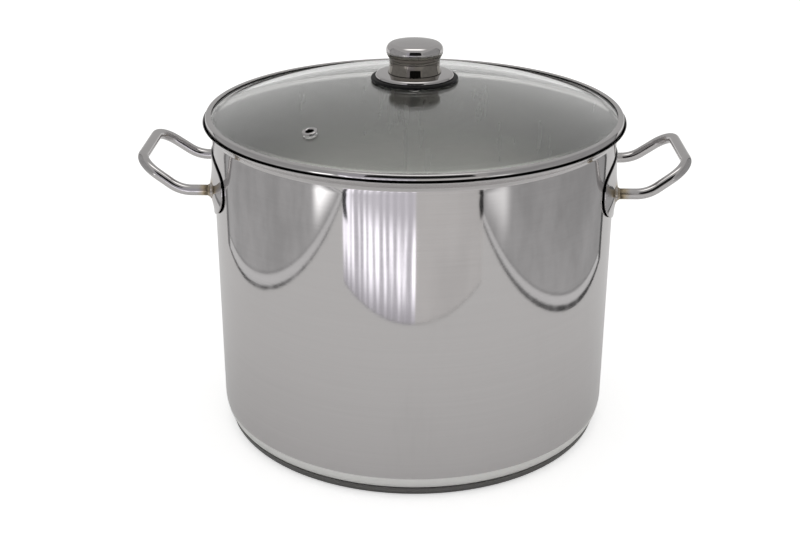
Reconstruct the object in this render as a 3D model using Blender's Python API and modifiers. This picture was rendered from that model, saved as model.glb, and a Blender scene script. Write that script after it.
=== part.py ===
"""A stock pot with two rod handles, an encapsulated base and a domed glass lid.

Units are metres. The origin is at the centre of the underside, Z points up and
the handles lie along X. Every turned piece is a profile in the XZ plane with a
Screw modifier, and its points run down the outer side of the piece.
"""

import math

import bmesh
import bpy
from mathutils import Matrix, Vector

MM = 0.001
NEAR_AXIS = 0.001 * MM  # a profile point this close to the axis is on it

# ---------------------------------------------------------------- clearances
GAP = 0.3 * MM  # between two pieces that touch

# ----------------------------------------------------------------------- pot
WALL_RADIUS = 150.5 * MM  # outside of the straight wall
RIM_HEIGHT = 240.7 * MM  # top of the lip above the table
WALL = 0.8 * MM
FLARE_HEIGHT = 11.7 * MM  # the lip leaves the wall this far below the rim
FLARE_WIDTH = 6.4 * MM  # how far the lip stands out from the wall
KNEE_DROP = 6.5 * MM  # the step inside the lip, below the rim
KNEE_WIDTH = 1.5 * MM
SHOULDER_RADIUS = 23.4 * MM  # large curve at the foot of the wall
SHOULDER_HEIGHT = 20.6 * MM  # where that curve leaves the wall
SHOULDER_TURN = 29.2  # degrees that it turns through
HEEL_RADIUS = 5.0 * MM  # tighter curve that ends in the flat bottom

# ---------------------------------------------------------------------- base
CAP_WALL = 0.6 * MM
CAP_CORNER = 6.0 * MM
CAP_INSET = 3.5 * MM  # rim of the cap inside the straight wall
CAP_FLARE = 0.7 * MM  # the cap widens by this between corner and rim
CAP_HEIGHT = 7.3 * MM
CORE_INSET = 9.4 * MM  # edge of the aluminium disc inside the straight wall
CORE_CHAMFER = 0.5 * MM

# ------------------------------------------------------------------- handles
ROD_RADIUS = 4.0 * MM
LEG_SPREAD = 42.3 * MM  # each leg to the middle of its handle
GRIP_SPREAD = 39.7 * MM  # each upper corner to the middle
HANDLE_DROP = 46.4 * MM  # the legs below the rim
LEG_REACH = 20.3 * MM  # first bend, out from the straight wall
GRIP_REACH = 49.4 * MM  # grip bar, out from the straight wall
GRIP_RISE = 20.9 * MM
LEG_BEND = 26.0 * MM
GRIP_BEND = 17.0 * MM

PLATE_THICKNESS = 1.0 * MM
PLATE_HALF_WIDTH = 68.0 * MM  # measured round the wall
PLATE_RISE = 4.7 * MM  # widest line of the plate above the legs
PLATE_TOP = 19.0 * MM  # above its widest line
PLATE_BOTTOM = 28.5 * MM  # below its widest line
PLATE_TOP_POWER = 3.2  # superellipse: higher is squarer
PLATE_BOTTOM_POWER = 2.2
BOSS_HEIGHT = 3.0 * MM
BOSS_WIDTH = 20.0 * MM
BOSS_UPPER = 9.0 * MM
BOSS_LOWER = 13.0 * MM
BEAD_RADIUS = 6.8 * MM
BEAD_TIP_RADIUS = 3.0 * MM
BEAD_HEIGHT = 3.2 * MM

# ----------------------------------------------------------------------- lid
BAND_INSET = 1.7 * MM  # outside of the band inside the lip's edge
BAND_HEIGHT = 5.6 * MM
BAND_WALL = 0.5 * MM
BAND_TOP_CORNER = 1.3 * MM
BAND_BOTTOM_CORNER = 0.9 * MM
BAND_FLANGE = 5.8 * MM
GLASS = 4.0 * MM
DOME_RISE = 24.4 * MM  # crown above the flat edge of the glass
DOME_FILLET = 12.0 * MM
GLASS_FLAT = 6.0 * MM  # width of the flat edge
GLASS_BEVEL = 0.8 * MM
KNOB_HOLE = 5.5 * MM
VENT_DISTANCE = 115.0 * MM
VENT_BEARING = -127.5  # degrees from +X
VENT_HOLE = 3.9 * MM
VENT_TUBE = 3.6 * MM
VENT_BORE = 2.85 * MM
VENT_FLANGE = 5.4 * MM
VENT_CROWN = 1.2 * MM
VENT_CURL = 5.0 * MM  # outside of the curl that holds the eyelet from below
VENT_CURL_HEIGHT = 0.9 * MM
VENT_CURL_EDGE = 0.6 * MM

# ---------------------------------------------------------------------- knob
KNOB_RADIUS = 21.0 * MM
KNOB_WALL = 0.8 * MM
KNOB_CROWN = 75.0 * MM  # radius of the domed top
KNOB_EDGE = 5.5 * MM
KNOB_BELLY = 9.0 * MM  # curve below the widest line
KNOB_BELLY_TURN = 35.0
KNOB_WAIST = 3.7 * MM
KNOB_NECK = 3.0 * MM  # straight part of the neck
KNOB_FOOT = 18.0 * MM  # radius of the flare at the foot
KNOB_FOOT_HEIGHT = 6.0 * MM
INSERT_THICKNESS = 1.4 * MM
INSERT_LIFT = 1.0 * MM
BOSS_RADIUS = 5.5 * MM
BOSS_LENGTH = 13.0 * MM
ROSETTE_RADIUS = 29.0 * MM
ROSETTE_TOP = 4.4 * MM  # above the crown of the glass
ROSETTE_EDGE = 1.6 * MM
ROSETTE_SEAT = 20.4 * MM  # flat part that the knob stands on
ROSETTE_WALL = 0.8 * MM
ROSETTE_CORNER = 2.4 * MM
ROSETTE_SLOPE = 84.0  # degrees from +X at which its rounded edge starts
GASKET_RADIUS = 32.3 * MM
GASKET_RIM = 2.6 * MM  # inside the edge of the gasket, where its lip begins
GASKET_CORNER = 0.8 * MM
SLEEVE_BORE = 3.4 * MM
SLEEVE_WALL = 1.7 * MM

# ------------------------------------------------------------------ fastener
SCREW_RADIUS = 2.5 * MM
SCREW_LENGTH = 24.0 * MM
HEAD_RADIUS = 4.75 * MM
HEAD_HEIGHT = 3.0 * MM
RECESS_WIDTH = 1.1 * MM
RECESS_LENGTH = 5.2 * MM
RECESS_DEPTH = 1.6 * MM
LOCK_RADIUS = 4.6 * MM
LOCK_THICKNESS = 1.3 * MM
LOCK_SLIT = 0.8 * MM
WASHER_RADIUS = 10.5 * MM
WASHER_THICKNESS = 1.2 * MM
SOFT_RADIUS = 11.5 * MM
SOFT_THICKNESS = 1.5 * MM

# --------------------------------------------------------------- smoothness
LARGE_STEPS = 48
SMALL_STEPS = 28
TINY_STEPS = 16
ROUND_STEPS = 24  # drilled holes and weld beads
BEND_STEPS = 5
SHARP_ANGLE = 50.0  # degrees; a steeper edge is shaded sharp

PARTS = "stock_pot"
CUTTERS = "cutters"


# ------------------------------------------------------------ scene and looks
def clear_scene():
    for old in list(bpy.data.objects):
        bpy.data.objects.remove(old, do_unlink=True)


def add_collection(name):
    made = bpy.data.collections.new(name)
    bpy.context.scene.collection.children.link(made)


def finish(name, colour, metallic, roughness, transmission=0.0):
    """A plain material for one sub-part."""
    made = bpy.data.materials.new(name)
    made.use_nodes = True
    shader = made.node_tree.nodes["Principled BSDF"]
    shader.inputs["Base Color"].default_value = (*colour, 1.0)
    shader.inputs["Metallic"].default_value = metallic
    shader.inputs["Roughness"].default_value = roughness
    shader.inputs["Transmission Weight"].default_value = transmission
    return made


def steel(name, roughness, value=0.62):
    return finish(name, (value, value * 0.99, value * 0.97), 1.0, roughness)


def rubber(name):
    return finish(name, (0.02, 0.02, 0.02), 0.0, 0.6)


# -------------------------------------------------------------- making pieces
def place(name, mesh, material, parent=None, collection=PARTS):
    """A new object that holds a mesh."""
    piece = bpy.data.objects.new(name, mesh)
    bpy.data.collections[collection].objects.link(piece)
    piece.parent = parent
    if material:
        mesh.materials.append(material)
    return piece


def add_cutter(name, mesh, parent=None):
    cutter = place(name, mesh, None, parent, CUTTERS)
    cutter.hide_render = True
    cutter.display_type = "WIRE"
    return cutter


def add_pivot(name, location, turn=0.0):
    pivot = bpy.data.objects.new(name, None)
    bpy.data.collections[PARTS].objects.link(pivot)
    pivot.location = location
    pivot.rotation_euler.z = math.radians(turn)
    return pivot


def cut(piece, cutter):
    boolean = piece.modifiers.new(f"Cut by {cutter.name}", "BOOLEAN")
    boolean.operation = "DIFFERENCE"
    boolean.solver = "EXACT"
    boolean.object = cutter


def mesh_from(bm, name):
    mesh = bpy.data.meshes.new(name)
    bm.to_mesh(mesh)
    bm.free()
    return mesh


def cylinder_mesh(name, radius, depth, steps, tip_radius=None):
    """A cylinder or a cone frustum about Z, from z = 0 up to its depth."""
    bm = bmesh.new()
    bmesh.ops.create_cone(
        bm,
        cap_ends=True,
        segments=steps,
        radius1=radius,
        radius2=radius if tip_radius is None else tip_radius,
        depth=depth,
        matrix=Matrix.Translation((0, 0, depth / 2)),
    )
    return mesh_from(bm, name)


def box_mesh(name, size, centre):
    bm = bmesh.new()
    bmesh.ops.create_cube(
        bm, matrix=Matrix.Translation(centre) @ Matrix.Diagonal((*size, 1.0))
    )
    return mesh_from(bm, name)


def turned(name, profile, material, steps, ring=False, parent=None):
    """A profile of (radius, height) points turned about Z.

    A ring's profile closes on itself; any other one starts and ends on the axis.
    """
    last = len(profile) - 1
    edges = [(i, i + 1) for i in range(last)]
    if ring:
        edges.append((last, 0))
    mesh = bpy.data.meshes.new(name)
    mesh.from_pydata([(x, 0.0, z) for x, z in profile], edges, [])
    piece = place(name, mesh, material, parent)
    screw = piece.modifiers.new("Turn", "SCREW")
    screw.axis = "Z"
    screw.steps = steps
    screw.render_steps = steps
    screw.use_merge_vertices = True
    screw.merge_threshold = 0.00001
    screw.use_smooth_shade = True
    return piece


# ------------------------------------------------------------ profile helpers
def arc(centre, radius, start, end, count):
    """Points from one angle to another, in degrees from +X towards +Z."""
    return [
        (
            centre[0] + radius * math.cos(math.radians(start + (end - start) * i / count)),
            centre[1] + radius * math.sin(math.radians(start + (end - start) * i / count)),
        )
        for i in range(count + 1)
    ]


def offset(points, distance):
    """The same open outline moved to the right of its direction of travel.

    An end on the axis stays on the axis.
    """
    vectors = [Vector(p) for p in points]
    sides = []
    for here, there in zip(vectors, vectors[1:]):
        along = (there - here).normalized()
        sides.append(Vector((along.y, -along.x)))
    moved = []
    for i, point in enumerate(vectors):
        before = sides[max(i - 1, 0)]
        after = sides[min(i, len(sides) - 1)]
        middle = (before + after).normalized()
        if abs(point.x) < NEAR_AXIS:
            middle = Vector((0.0, math.copysign(1.0, after.y)))
        moved.append(tuple(point + middle * distance / middle.dot(after)))
    return moved


def level_end(outline, height):
    """The same outline with its last run trimmed or stretched to a height."""
    (x, z), (end_x, end_z) = outline[-2:]
    share = (height - z) / (end_z - z)
    return outline[:-1] + [(x + (end_x - x) * share, height)]


def walled(outside, thickness):
    """A closed outline: the outer side, and its inner side one wall in."""
    return outside + offset(outside, thickness)[::-1]


# ------------------------------------------------------------------------ pot
def shoulder_end():
    turn = math.radians(SHOULDER_TURN)
    return (
        WALL_RADIUS - SHOULDER_RADIUS * (1 - math.cos(turn)),
        SHOULDER_HEIGHT - SHOULDER_RADIUS * math.sin(turn),
    )


def heel_centre():
    turn = math.radians(SHOULDER_TURN)
    x, z = shoulder_end()
    return x - HEEL_RADIUS * math.cos(turn), z + HEEL_RADIUS * math.sin(turn)


def bottom_height():
    """Underside of the pot itself, above the base."""
    return heel_centre()[1] - HEEL_RADIUS


def knee():
    return WALL_RADIUS + KNEE_WIDTH, RIM_HEIGHT - KNEE_DROP


def rim_radius():
    return WALL_RADIUS + FLARE_WIDTH


def make_pot_body():
    shoulder = (WALL_RADIUS - SHOULDER_RADIUS, SHOULDER_HEIGHT)
    outside = [
        (rim_radius(), RIM_HEIGHT),
        knee(),
        (WALL_RADIUS, RIM_HEIGHT - FLARE_HEIGHT),
    ]
    outside += arc(shoulder, SHOULDER_RADIUS, 0, -SHOULDER_TURN, 3)
    outside += arc(heel_centre(), HEEL_RADIUS, -SHOULDER_TURN, -90, 3)[1:]
    outside.append((0.0, bottom_height()))
    inside = level_end(offset(outside, WALL)[::-1], RIM_HEIGHT)
    turned("pot_body", inside + outside, steel("pot_steel", 0.16), LARGE_STEPS)


def make_base_cap():
    rim = WALL_RADIUS - CAP_INSET
    corner = (rim - CAP_FLARE - CAP_CORNER, CAP_CORNER)
    outside = [(rim, CAP_HEIGHT)]
    outside += arc(corner, CAP_CORNER, 0, -90, 4)
    outside.append((0.0, 0.0))
    inside = level_end(offset(outside, CAP_WALL)[::-1], CAP_HEIGHT)
    turned("base_cap", inside + outside, steel("satin_steel", 0.35, 0.35), LARGE_STEPS)


def make_base_core():
    radius = WALL_RADIUS - CORE_INSET
    low = CAP_WALL + GAP
    high = bottom_height() - GAP
    profile = [
        (0.0, high),
        (radius, high),
        (radius, low + CORE_CHAMFER),
        (radius - CORE_CHAMFER, low),
        (0.0, low),
    ]
    aluminium = finish("aluminium", (0.75, 0.75, 0.76), 1.0, 0.4)
    turned("base_core", profile, aluminium, LARGE_STEPS)


# -------------------------------------------------------------------- handles
def leg_angle():
    """Where a leg meets the wall, from the middle of its handle, in radians."""
    return math.asin(LEG_SPREAD / WALL_RADIUS)


def plate_point(across, along, lift):
    """A point on the plate's inner face, or one that is lifted off it.

    across runs from -1 to 1 round the wall and along from -1 to 1 up it, with
    z = 0 at the height of the legs.
    """
    across = math.sin(across * math.pi / 2)
    tall, power = (PLATE_TOP, PLATE_TOP_POWER) if along > 0 else (PLATE_BOTTOM, PLATE_BOTTOM_POWER)
    z = PLATE_RISE + along * tall * max(0.0, 1 - abs(across) ** power) ** (1 / power)
    arc_length = across * PLATE_HALF_WIDTH
    boss_tall = BOSS_UPPER if z > 0 else BOSS_LOWER
    boss = sum(
        math.exp(-(((arc_length - leg) / BOSS_WIDTH) ** 2) - (z / boss_tall) ** 2)
        for leg in (-leg_angle() * WALL_RADIUS, leg_angle() * WALL_RADIUS)
    )
    radius = WALL_RADIUS + GAP + BOSS_HEIGHT * boss + lift
    angle = arc_length / WALL_RADIUS
    return Vector((radius * math.cos(angle), radius * math.sin(angle), z))


def plate_surface(name, lift):
    """The plate's sheet as an open surface that faces away from the pot."""
    bm = bmesh.new()
    bmesh.ops.create_grid(bm, x_segments=20, y_segments=8, size=1.0)
    for vertex in bm.verts:
        vertex.co = plate_point(vertex.co.x, vertex.co.y, lift)
    bmesh.ops.remove_doubles(bm, verts=bm.verts, dist=0.00001)
    for face in bm.faces:
        face.smooth = True
    return mesh_from(bm, name)


def thicken(piece, thickness, side):
    wall = piece.modifiers.new("Wall", "SOLIDIFY")
    wall.thickness = thickness
    wall.offset = side


def rounded_path(corners):
    """Points along straight runs joined by arcs, from (point, bend radius) pairs."""
    path = [Vector(corners[0][0])]
    for (before, _), (corner, bend), (after, _) in zip(corners, corners[1:], corners[2:]):
        corner = Vector(corner)
        back = (Vector(before) - corner).normalized()
        ahead = (Vector(after) - corner).normalized()
        half = back.angle(ahead) / 2
        centre = corner + (back + ahead).normalized() * bend / math.sin(half)
        first = (corner + back * bend / math.tan(half) - centre).normalized()
        last = (corner + ahead * bend / math.tan(half) - centre).normalized()
        for i in range(BEND_STEPS + 1):
            path.append(centre + first.slerp(last, i / BEND_STEPS) * bend)
    path.append(Vector(corners[-1][0]))
    return path


def rod_mesh(name, path):
    """A round bar along a path, as a closed mesh."""
    curve = bpy.data.curves.new(name, "CURVE")
    curve.dimensions = "3D"
    curve.bevel_depth = ROD_RADIUS
    curve.bevel_resolution = 3
    curve.use_fill_caps = True
    spline = curve.splines.new("POLY")
    spline.points.add(len(path) - 1)
    for point, place_at in zip(spline.points, path):
        point.co = (*place_at, 1.0)
    guide = bpy.data.objects.new(name, curve)
    bpy.context.scene.collection.objects.link(guide)
    graph = bpy.context.evaluated_depsgraph_get()
    mesh = bpy.data.meshes.new_from_object(guide.evaluated_get(graph))
    bpy.data.objects.remove(guide)
    bm = bmesh.new()
    bm.from_mesh(mesh)
    bmesh.ops.remove_doubles(bm, verts=bm.verts, dist=0.00001)
    bmesh.ops.recalc_face_normals(bm, faces=bm.faces)
    bm.to_mesh(mesh)
    bm.free()
    mesh.name = name
    mesh.shade_smooth()
    mesh.set_sharp_from_angle(angle=math.radians(SHARP_ANGLE))
    return mesh


def handle_corners():
    start = WALL_RADIUS * math.cos(leg_angle()) + ROD_RADIUS / 2
    bend = WALL_RADIUS + LEG_REACH
    grip = WALL_RADIUS + GRIP_REACH
    return [
        ((start, -LEG_SPREAD, 0.0), 0.0),
        ((bend, -LEG_SPREAD, 0.0), LEG_BEND),
        ((grip, -GRIP_SPREAD, GRIP_RISE), GRIP_BEND),
        ((grip, GRIP_SPREAD, GRIP_RISE), GRIP_BEND),
        ((bend, LEG_SPREAD, 0.0), LEG_BEND),
        ((start, LEG_SPREAD, 0.0), 0.0),
    ]


def make_weld_bead(name, leg_side, material, pivot, seat, rod_hole):
    """A tapered bead square to the plate, cut to sit on it and round the leg."""
    face = WALL_RADIUS + GAP + BOSS_HEIGHT + PLATE_THICKNESS
    buried = BEAD_HEIGHT
    buried_radius = BEAD_RADIUS + (BEAD_RADIUS - BEAD_TIP_RADIUS) * buried / BEAD_HEIGHT
    mesh = cylinder_mesh(
        name, buried_radius, BEAD_HEIGHT + buried, ROUND_STEPS, BEAD_TIP_RADIUS
    )
    bead = place(name, mesh, material, pivot)
    mesh.shade_smooth()
    mesh.set_sharp_from_angle(angle=math.radians(SHARP_ANGLE))
    angle = math.asin(LEG_SPREAD / face) * leg_side
    foot = face - buried
    bead.location = (foot * math.cos(angle), foot * math.sin(angle), 0.0)
    bead.rotation_euler = (0.0, math.pi / 2, angle)
    cut(bead, seat)
    cut(bead, rod_hole)


def make_handle(side, turn):
    pivot = add_pivot(f"handle_{side}", (0.0, 0.0, RIM_HEIGHT - HANDLE_DROP), turn)
    plate_mesh = plate_surface(f"handle_plate_{side}", 0.0)
    plate = place(f"handle_plate_{side}", plate_mesh, steel(f"plate_steel_{side}", 0.14), pivot)
    thicken(plate, PLATE_THICKNESS, 1.0)

    seat_mesh = plate_surface(f"seat_{side}", PLATE_THICKNESS + GAP)
    seat = add_cutter(f"seat_{side}", seat_mesh, pivot)
    thicken(seat, ROD_RADIUS * 3, -1.0)

    path = rounded_path(handle_corners())
    rod_steel = steel(f"rod_steel_{side}", 0.06)
    rod = place(f"handle_rod_{side}", rod_mesh(f"handle_rod_{side}", path), rod_steel, pivot)
    cut(rod, seat)

    bead_steel = finish(f"bead_steel_{side}", (0.36, 0.30, 0.22), 1.0, 0.3)
    front = -1 if turn == 0 else 1  # the leg on the -Y side once the handle is turned
    for end, leg_side in (("front", front), ("back", -front)):
        name = f"{side}_{end}"
        hole_mesh = cylinder_mesh(
            f"leg_hole_{name}", ROD_RADIUS + GAP, BEAD_HEIGHT * 10, ROUND_STEPS
        )
        hole = add_cutter(f"leg_hole_{name}", hole_mesh, pivot)
        hole.location = (WALL_RADIUS - BEAD_HEIGHT * 4, LEG_SPREAD * leg_side, 0.0)
        hole.rotation_euler = (0.0, math.pi / 2, 0.0)
        make_weld_bead(f"weld_bead_{name}", leg_side, bead_steel, pivot, seat, hole)


# ------------------------------------------------------------------------ lid
def band_radius():
    return rim_radius() - BAND_INSET


def seat_height():
    """Height of the lid's underside, where its lower corner rests in the lip."""
    (knee_x, knee_z), (rim_x, rim_z) = knee(), (rim_radius(), RIM_HEIGHT)
    along = Vector((rim_x - knee_x, rim_z - knee_z)).normalized()
    into_lip = Vector((-along.y, along.x))
    apart = WALL + GAP + BAND_BOTTOM_CORNER
    across = band_radius() - BAND_BOTTOM_CORNER - knee_x
    centre = knee_z + (apart - across * into_lip.x) / into_lip.y
    return centre - BAND_BOTTOM_CORNER


def glass_edge():
    """Radius and top height of the flat edge of the glass, from the lid's seat."""
    return band_radius() - BAND_WALL - GAP, BAND_WALL + GAP + GLASS


def dome_radius():
    """The dome's sphere, which meets the flat edge through the fillet."""
    flat = glass_edge()[0] - GLASS_FLAT
    return (flat**2 + DOME_RISE**2) / (2 * DOME_RISE) - DOME_FILLET


def crown_height():
    return glass_edge()[1] + DOME_RISE


def dome_height(radius):
    """Top of the glass at a distance from the axis, on the sphere."""
    sphere = dome_radius()
    return crown_height() - sphere + math.sqrt(sphere**2 - radius**2)


def glass_face(depth):
    """One face of the glass from the knob hole to the edge, depth below the top."""
    sphere = dome_radius() - depth
    centre = crown_height() - dome_radius()
    edge, edge_height = glass_edge()
    fillet = (edge - GLASS_FLAT, edge_height + DOME_FILLET)
    lean = math.degrees(math.atan2(fillet[0], fillet[1] - centre))
    start = math.degrees(math.asin(KNOB_HOLE / sphere))
    face = arc((0.0, centre), sphere, 90 - start, 90 - lean, 7)
    face += arc(fillet, DOME_FILLET + depth, 270 - lean, 270, 2)[1:]
    return face


def make_lid_glass(pivot):
    edge, height = glass_edge()
    low = height - GLASS
    profile = glass_face(0.0)
    profile += [(edge - GLASS_BEVEL, height), (edge, height - GLASS_BEVEL)]
    profile += [(edge, low + GLASS_BEVEL), (edge - GLASS_BEVEL, low)]
    profile += glass_face(GLASS)[::-1]
    glass = turned(
        "lid_glass",
        profile,
        finish("clear_glass", (0.86, 0.9, 0.88), 0.0, 0.02, 1.0),
        LARGE_STEPS,
        ring=True,
        parent=pivot,
    )
    depth = GLASS * 4
    drill_mesh = cylinder_mesh("vent_drill", VENT_HOLE, depth, ROUND_STEPS)
    drill = add_cutter("vent_drill", drill_mesh, pivot)
    set_on_dome(drill, -depth / 2)
    cut(glass, drill)


def set_on_dome(piece, lift):
    """Stands a piece on the glass at the vent, square to the dome."""
    lean = math.asin(VENT_DISTANCE / dome_radius())
    bearing = math.radians(VENT_BEARING)
    out = Vector((math.cos(bearing), math.sin(bearing), 0.0))
    up = Vector((0.0, 0.0, 1.0))
    normal = up * math.cos(lean) + out * math.sin(lean)
    seat = out * VENT_DISTANCE + up * dome_height(VENT_DISTANCE)
    piece.location = seat + normal * lift
    piece.rotation_euler = (0.0, lean, bearing)


def make_vent_eyelet(pivot):
    top = GAP + VENT_CROWN
    bottom = -GLASS - GAP
    crown_centre = ((VENT_FLANGE + VENT_BORE) / 2, GAP)
    crown_radius = (VENT_FLANGE - VENT_BORE) / 2
    crown = [
        (x, crown_centre[1] + (z - crown_centre[1]) * top / (crown_radius + GAP))
        for x, z in arc(crown_centre, crown_radius, 180, 0, 6)
    ]
    profile = crown + [
        (VENT_TUBE, GAP),
        (VENT_TUBE, bottom),
        (VENT_CURL, bottom),
        (VENT_CURL, bottom - VENT_CURL_EDGE),
        (VENT_BORE, bottom - VENT_CURL_HEIGHT),
    ]
    eyelet = turned(
        "vent_eyelet", profile, steel("eyelet_steel", 0.1), TINY_STEPS, ring=True, parent=pivot
    )
    set_on_dome(eyelet, 0.0)


def make_lid_band(pivot):
    radius = band_radius()
    upper = (radius - BAND_TOP_CORNER, BAND_HEIGHT - BAND_TOP_CORNER)
    lower = (radius - BAND_BOTTOM_CORNER, BAND_BOTTOM_CORNER)
    outside = [(radius - BAND_FLANGE, BAND_HEIGHT)]
    outside += arc(upper, BAND_TOP_CORNER, 90, 0, 2)
    outside += arc(lower, BAND_BOTTOM_CORNER, 0, -90, 2)
    outside.append((radius - BAND_FLANGE, 0.0))
    turned(
        "lid_band",
        walled(outside, BAND_WALL),
        steel("band_steel", 0.1),
        LARGE_STEPS,
        ring=True,
        parent=pivot,
    )


# ----------------------------------------------------------------------- knob
def rosette_height():
    return crown_height() + ROSETTE_TOP


def make_knob_flange(pivot):
    top = rosette_height()
    edge = crown_height() + ROSETTE_EDGE
    corner = (ROSETTE_RADIUS - ROSETTE_CORNER, edge)
    outside = [(SLEEVE_BORE, top), (ROSETTE_SEAT, top)]
    outside += arc(corner, ROSETTE_CORNER, ROSETTE_SLOPE, 0, 5)
    turned(
        "knob_flange",
        walled(outside, ROSETTE_WALL),
        steel("rosette_steel", 0.08),
        SMALL_STEPS,
        ring=True,
        parent=pivot,
    )


def make_knob_gasket(pivot):
    """The rubber fills the room under the rosette and lines the hole in the glass."""
    under_top = rosette_height() - ROSETTE_WALL - GAP
    under_edge = crown_height() + ROSETTE_EDGE - GAP
    sleeve = SLEEVE_BORE + SLEEVE_WALL
    low = dome_height(KNOB_HOLE) - GLASS + GAP
    rim = GASKET_RADIUS - GASKET_RIM
    profile = [
        (SLEEVE_BORE, under_top),
        (ROSETTE_SEAT - ROSETTE_WALL, under_top),
        (rim - ROSETTE_CORNER, under_edge),
        (GASKET_RADIUS - GASKET_CORNER, under_edge),
        (GASKET_RADIUS, under_edge - GASKET_CORNER),
        (GASKET_RADIUS, dome_height(GASKET_RADIUS) + GAP),
        (GASKET_RADIUS / 2, dome_height(GASKET_RADIUS / 2) + GAP),
        (sleeve, dome_height(sleeve) + GAP),
        (sleeve, low),
        (SLEEVE_BORE, low),
    ]
    turned("knob_gasket", profile, rubber("black_rubber"), SMALL_STEPS, ring=True, parent=pivot)


def waist_centre():
    turn = math.radians(KNOB_BELLY_TURN)
    reach = KNOB_BELLY + KNOB_WAIST
    x = KNOB_RADIUS - KNOB_BELLY + reach * math.cos(turn)
    return x, -reach * math.sin(turn)


def neck_radius():
    return waist_centre()[0] - KNOB_WAIST


def knob_outline():
    """The knob's outer side from its crown to its foot, z = 0 at the widest line."""
    edge = (KNOB_RADIUS - KNOB_EDGE, 0.0)
    belly = (KNOB_RADIUS - KNOB_BELLY, 0.0)
    lean = math.degrees(math.asin(edge[0] / (KNOB_CROWN - KNOB_EDGE)))
    crown = (0.0, -(KNOB_CROWN - KNOB_EDGE) * math.cos(math.radians(lean)))
    foot = (neck_radius() + KNOB_FOOT, waist_centre()[1] - KNOB_NECK)
    foot_turn = math.degrees(math.asin(KNOB_FOOT_HEIGHT / KNOB_FOOT))
    outline = arc(crown, KNOB_CROWN, 90, 90 - lean, 2)
    outline += arc(edge, KNOB_EDGE, 90 - lean, 0, 4)[1:]
    outline += arc(belly, KNOB_BELLY, 0, -KNOB_BELLY_TURN, 3)[1:]
    outline += arc(waist_centre(), KNOB_WAIST, 180 - KNOB_BELLY_TURN, 180, 2)[1:]
    outline += arc(foot, KNOB_FOOT, 180, 180 + foot_turn, 2)
    return outline


def make_knob_shell(pivot):
    outline = knob_outline()
    lift = rosette_height() + GAP - outline[-1][1]
    outside = [(x, z + lift) for x, z in outline]
    inside = level_end(offset(outside, KNOB_WALL), outside[-1][1])[::-1]
    turned("knob_shell", outside + inside, steel("knob_steel", 0.07), SMALL_STEPS, parent=pivot)


def make_knob_insert(pivot):
    """The disc in the mouth of the knob, with a blind threaded boss."""
    low = rosette_height() + GAP + INSERT_LIFT
    disc = low + INSERT_THICKNESS
    boss = disc + BOSS_LENGTH
    bore = SCREW_RADIUS + GAP
    profile = [
        (0.0, boss),
        (BOSS_RADIUS, boss),
        (BOSS_RADIUS, disc),
        (neck_radius() - KNOB_WALL - GAP, disc),
        (neck_radius() - KNOB_WALL - GAP, low),
        (bore, low),
        (bore, boss - BOSS_RADIUS / 3),
        (0.0, boss - BOSS_RADIUS / 3),
    ]
    turned("knob_insert", profile, steel("insert_steel", 0.3), SMALL_STEPS, parent=pivot)


# ------------------------------------------------------------------- fastener
def washer(name, top, thickness, inner, outer, material, pivot):
    profile = [
        (inner, top),
        (outer, top),
        (outer, top - thickness),
        (inner, top - thickness),
    ]
    return turned(name, profile, material, SMALL_STEPS, ring=True, parent=pivot)


def make_fastener(pivot):
    bore = SCREW_RADIUS + GAP
    top = dome_height(SOFT_RADIUS) - GLASS - GAP
    soft = rubber("underside_rubber")
    washer("underside_gasket", top, SOFT_THICKNESS, SLEEVE_BORE, SOFT_RADIUS, soft, pivot)

    top -= SOFT_THICKNESS + GAP
    flat_steel = steel("washer_steel", 0.25)
    washer("underside_washer", top, WASHER_THICKNESS, bore, WASHER_RADIUS, flat_steel, pivot)

    top -= WASHER_THICKNESS + GAP
    spring_steel = steel("spring_steel", 0.3, 0.4)
    lock = washer("lock_washer", top, LOCK_THICKNESS, bore, LOCK_RADIUS, spring_steel, pivot)
    slit_size = (LOCK_RADIUS * 1.5, LOCK_SLIT, LOCK_THICKNESS * 3)
    slit_centre = (LOCK_RADIUS, 0.0, top - LOCK_THICKNESS / 2)
    slit = add_cutter("lock_slit", box_mesh("lock_slit", slit_size, slit_centre), pivot)
    cut(lock, slit)

    top -= LOCK_THICKNESS + GAP
    make_screw(top, pivot)


def make_screw(top, pivot):
    """A pan-head screw whose head hangs below the lid."""
    low = top - HEAD_HEIGHT
    bevel = HEAD_HEIGHT / 3
    point = SCREW_RADIUS / 3
    profile = [
        (0.0, top + SCREW_LENGTH),
        (SCREW_RADIUS - point, top + SCREW_LENGTH),
        (SCREW_RADIUS, top + SCREW_LENGTH - point),
        (SCREW_RADIUS, top),
        (HEAD_RADIUS, top),
        (HEAD_RADIUS, low + bevel),
        (HEAD_RADIUS - bevel, low),
        (0.0, low),
    ]
    screw = turned("knob_screw", profile, steel("screw_steel", 0.2), TINY_STEPS, parent=pivot)
    for name, size_x, size_y in (
        ("recess_x", RECESS_LENGTH, RECESS_WIDTH),
        ("recess_y", RECESS_WIDTH, RECESS_LENGTH),
    ):
        size = (size_x, size_y, RECESS_DEPTH * 2)
        recess = add_cutter(name, box_mesh(name, size, (0.0, 0.0, low)), pivot)
        cut(screw, recess)


def main():
    clear_scene()
    add_collection(PARTS)
    add_collection(CUTTERS)
    make_pot_body()
    make_base_cap()
    make_base_core()
    make_handle("right", 0)
    make_handle("left", 180)
    lid = add_pivot("lid_lift", (0.0, 0.0, seat_height()))
    make_lid_glass(lid)
    make_vent_eyelet(lid)
    make_lid_band(lid)
    make_knob_flange(lid)
    make_knob_gasket(lid)
    make_knob_shell(lid)
    make_knob_insert(lid)
    make_fastener(lid)


main()
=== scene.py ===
"""The looks of a stainless stock pot with a banded glass lid, on a plain studio floor."""

import math

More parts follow.
